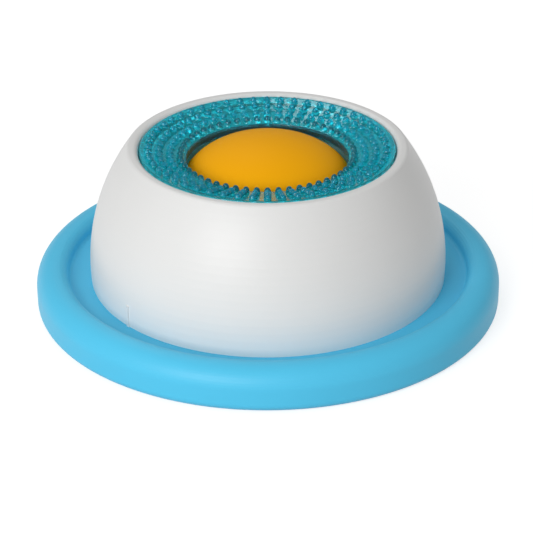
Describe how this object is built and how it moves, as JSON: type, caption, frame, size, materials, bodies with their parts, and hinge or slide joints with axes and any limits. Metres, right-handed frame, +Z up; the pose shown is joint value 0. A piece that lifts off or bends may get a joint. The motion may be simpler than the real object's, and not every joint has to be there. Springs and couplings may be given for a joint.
{
  "type": "lick bowl",
  "caption": "Domed pet lick bowl: a flattened float shows through a studded ring over a drop-in food cup, on a round drip tray with suction pads.",
  "frame": {"origin": "centre of the flat foot ring that the tray stands on", "axes": "+Z up along the axis of the bowl, -Y towards the front of the picture"},
  "size_m": [0.22, 0.22, 0.0808],
  "materials": {
    "tray": "satin sky blue",
    "silicone": "translucent matte",
    "shell": "satin white",
    "plate": "fine matte white",
    "screw": "plain steel",
    "cup": "smooth white",
    "ring": "clear teal, polished",
    "float": "satin amber"
  },
  "bodies": {
    "tray": {"drip_tray": "tray", "suction_pads": "silicone"},
    "bowl": {"outer_shell": "shell", "base_plate": "plate", "base_screws": "screw"},
    "cup": {"food_cup": "cup", "neck_seal": "silicone", "ring_seal": "silicone"},
    "ring": {"lick_ring": "ring"},
    "float": {"float_upper": "float", "float_lower": "float"}
  },
  "joints": [
    {"name": "bowl_twist", "type": "hinge", "parent": "tray", "child": "bowl", "pos_m": [0, 0, 0.013], "axis": [0, 0, 1], "range_deg": [0, 25]},
    {"name": "cup_lift", "type": "slide", "parent": "bowl", "child": "cup", "axis": [0, 0, 1], "range_m": [0, 0.06]},
    {"name": "ring_twist", "type": "hinge", "parent": "cup", "child": "ring", "pos_m": [0, 0, 0.0724], "axis": [0, 0, 1], "range_deg": [0, 30]},
    {"name": "float_spin", "type": "hinge", "parent": "cup", "child": "float", "pos_m": [0, 0, 0.0544], "axis": [0, 0, 1], "continuous": true}
  ]
}
